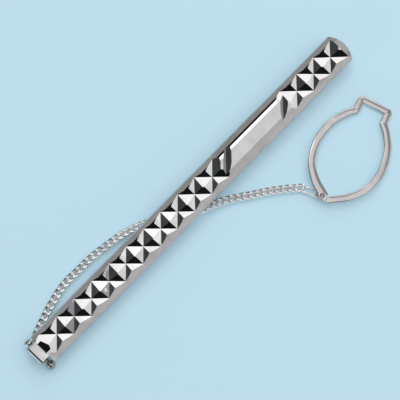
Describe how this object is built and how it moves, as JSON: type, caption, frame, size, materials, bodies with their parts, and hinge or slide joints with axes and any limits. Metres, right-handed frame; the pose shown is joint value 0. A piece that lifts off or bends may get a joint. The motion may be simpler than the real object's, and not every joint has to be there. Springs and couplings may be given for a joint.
{
  "type": "tie bar with chain and button loop",
  "caption": "Slim diamond-cut tie bar with a snap-hinged back jaw, a fine curb chain and a flat wire loop that fastens to a shirt button.",
  "frame": {"origin": "under the middle of the bar's length, on the flat back of the jaw, which is the surface the tie bar lies on", "axes": "+X along the bar from the hinge to the nose, +Y across the bar, away from the button loop, +Z out of the face"},
  "size_m": [0.06, 0.0215, 0.0033],
  "materials": {
    "face_plate": "bright rhodium-coloured plate over brass, diamond cut and polished",
    "pin_metal": "plated turned wire, slightly dulled",
    "spring_metal": "spring strip, plain",
    "jaw_metal": "plated brass strip, satin",
    "ring_metal": "plated wire",
    "chain_metal": "plated fine curb chain",
    "loop_metal": "plated flat wire, polished"
  },
  "bodies": {
    "jaw": {"back_jaw": "jaw_metal", "hinge_pin": "pin_metal", "curb_chain": "chain_metal"},
    "front": {"bar_shell": "face_plate", "leaf_spring": "spring_metal", "spring_rivet_1": "pin_metal", "spring_rivet_2": "pin_metal"},
    "chain_start": {"pin_ring": "ring_metal"},
    "chain_end": {"link_ring": "ring_metal"},
    "loop": {"button_loop": "loop_metal"}
  },
  "joints": [
    {"name": "jaw_hinge", "type": "hinge", "parent": "jaw", "child": "front", "pos_m": [-0.029, 0, 0.00075], "axis": [0, -1, 0], "range_deg": [0, 45], "stiffness_Nm_per_rad": 0.03, "springref_deg": -57.3, "deforming": ["leaf_spring"]},
    {"name": "pin_ring_swing", "type": "hinge", "parent": "jaw", "child": "chain_start", "pos_m": [-0.029, 0.00195, 0.00075], "axis": [0, 1, 0], "range_deg": [-15, 15]},
    {"name": "link_ring_swing", "type": "hinge", "parent": "jaw", "child": "chain_end", "pos_m": [0.0119, -0.00965, 0.00057], "axis": [-0.9063, -0.4226, 0], "range_deg": [-45, 90]},
    {"name": "loop_turn", "type": "hinge", "parent": "chain_end", "child": "loop", "pos_m": [0.01285, -0.01184, 0.00057], "axis": [0.9063, 0.4226, 0], "range_deg": [0, 150]}
  ]
}
